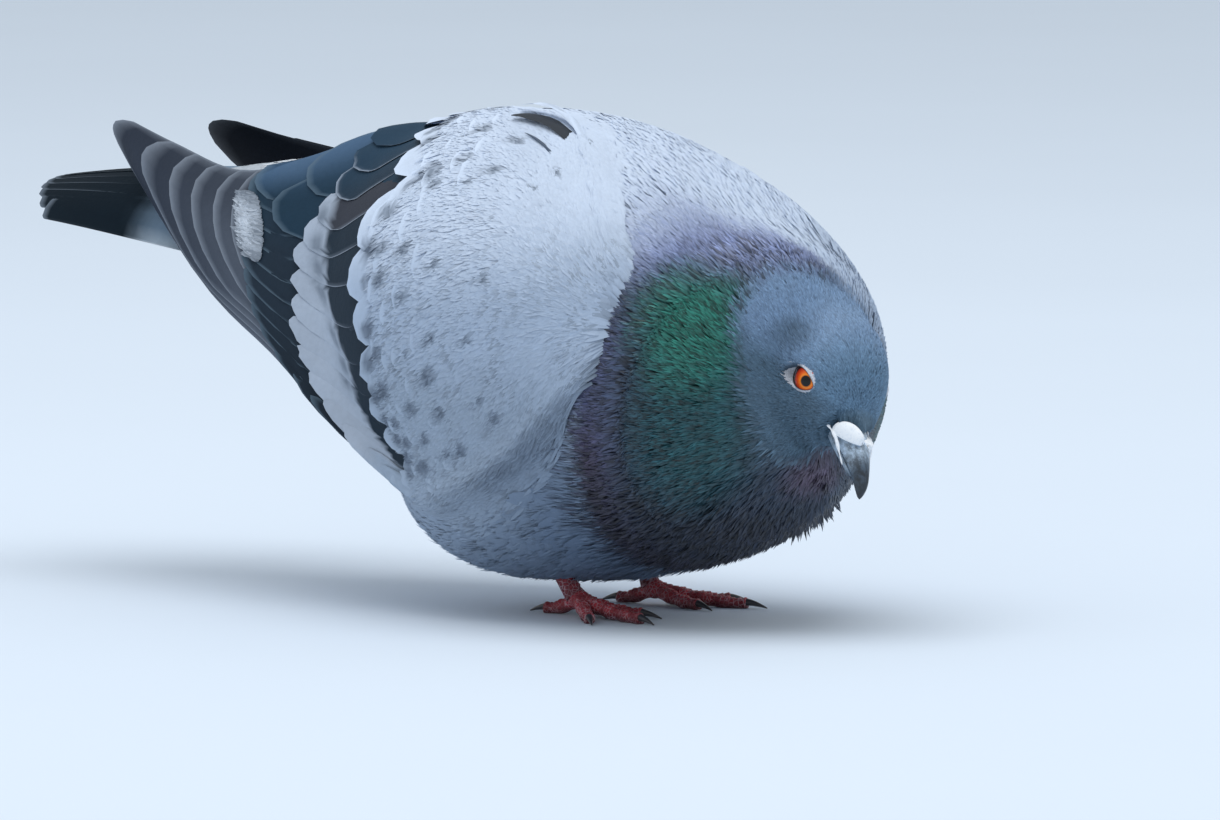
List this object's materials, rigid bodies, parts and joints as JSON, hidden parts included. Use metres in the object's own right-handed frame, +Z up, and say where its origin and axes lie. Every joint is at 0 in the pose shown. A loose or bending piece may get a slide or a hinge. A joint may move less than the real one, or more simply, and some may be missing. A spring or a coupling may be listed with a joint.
{
  "type": "pigeon",
  "caption": "Still life-size feral pigeon, fluffed up and crouching on both feet with folded wings, raised wing tips and its head turned down towards the ground.",
  "frame": {"origin": "on the ground, at the middle of the box round the bird", "axes": "+Z up, the bird faces -Y, its left side is at +X"},
  "size_m": [0.1126, 0.289, 0.1257],
  "materials": {
    "feathers_body": "soft matte plumage, pale blue-grey",
    "feathers_neck": "silky plumage with a green and purple sheen",
    "feathers_head": "short close plumage, slate blue-grey",
    "feathers_wing": "smooth plumage, pale grey with two dark bars",
    "feathers_primary": "firm flight feathers, brown-grey with pale edges",
    "feathers_tail": "firm tail feathers, grey with a dark band",
    "eye": "wet gloss, orange iris",
    "horn": "satin horn, dark grey",
    "cere": "chalky, white",
    "leg": "scaly skin, dull red",
    "claw": "satin horn, black"
  },
  "bodies": {
    "root": {"trunk": "feathers_body", "neck": "feathers_neck", "head": "feathers_head", "bill_upper": "horn", "bill_lower": "horn", "cere": "cere", "tail": "feathers_tail", "eye_left": "eye", "wing_left": "feathers_wing", "primaries_left": "feathers_primary", "leg_left": "leg", "foot_left": "leg", "claw_inner_left": "claw", "claw_middle_left": "claw", "claw_outer_left": "claw", "claw_hind_left": "claw", "eye_right": "eye", "wing_right": "feathers_wing", "primaries_right": "feathers_primary", "leg_right": "leg", "foot_right": "leg", "claw_inner_right": "claw", "claw_middle_right": "claw", "claw_outer_right": "claw", "claw_hind_right": "claw"}
  },
  "joints": []
}
